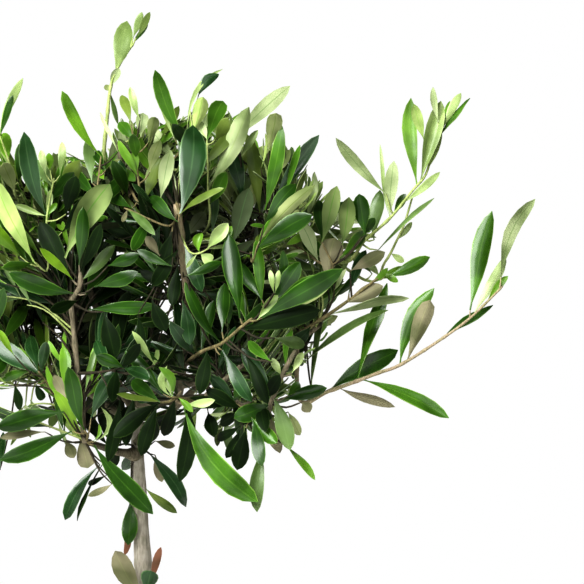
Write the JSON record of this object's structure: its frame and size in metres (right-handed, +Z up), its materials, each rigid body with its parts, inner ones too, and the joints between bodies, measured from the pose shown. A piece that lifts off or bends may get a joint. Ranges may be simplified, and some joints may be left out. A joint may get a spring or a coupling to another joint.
{
  "type": "potted olive tree",
  "caption": "Small standard olive tree with a bare stem, a loose head of narrow grey-green leaves and a plain clay pot that it stands in.",
  "frame": {"origin": "middle of the pot's flat underside, on the surface that the pot stands on", "axes": "+Z up along the stem, -Y towards the front of the crown, +X to the right seen from the front"},
  "size_m": [0.6334, 0.4389, 0.9577],
  "materials": {
    "clay": "matt fired clay, unglazed",
    "compost": "rough dark potting compost",
    "bark": "grey-beige bark, smooth and mottled",
    "leaf": "dark leathery green above, pale grey-green below"
  },
  "bodies": {
    "root": {"pot": "clay", "root_ball": "compost", "trunk": "bark", "bough_front_left": "bark", "bough_front_high": "bark", "bough_back_right": "bark", "bough_left": "bark", "bough_back_left": "bark", "bough_front_right": "bark", "bough_right": "bark", "bough_left_high": "bark", "bough_back_high": "bark", "bough_right_high": "bark", "bough_top": "bark", "foliage_front_left": "leaf", "foliage_front_high": "leaf", "foliage_back_right": "leaf", "foliage_left": "leaf", "foliage_back_left": "leaf", "foliage_front_right": "leaf", "foliage_right": "leaf", "foliage_left_high": "leaf", "foliage_back_high": "leaf", "foliage_right_high": "leaf", "foliage_top": "leaf"}
  },
  "joints": []
}
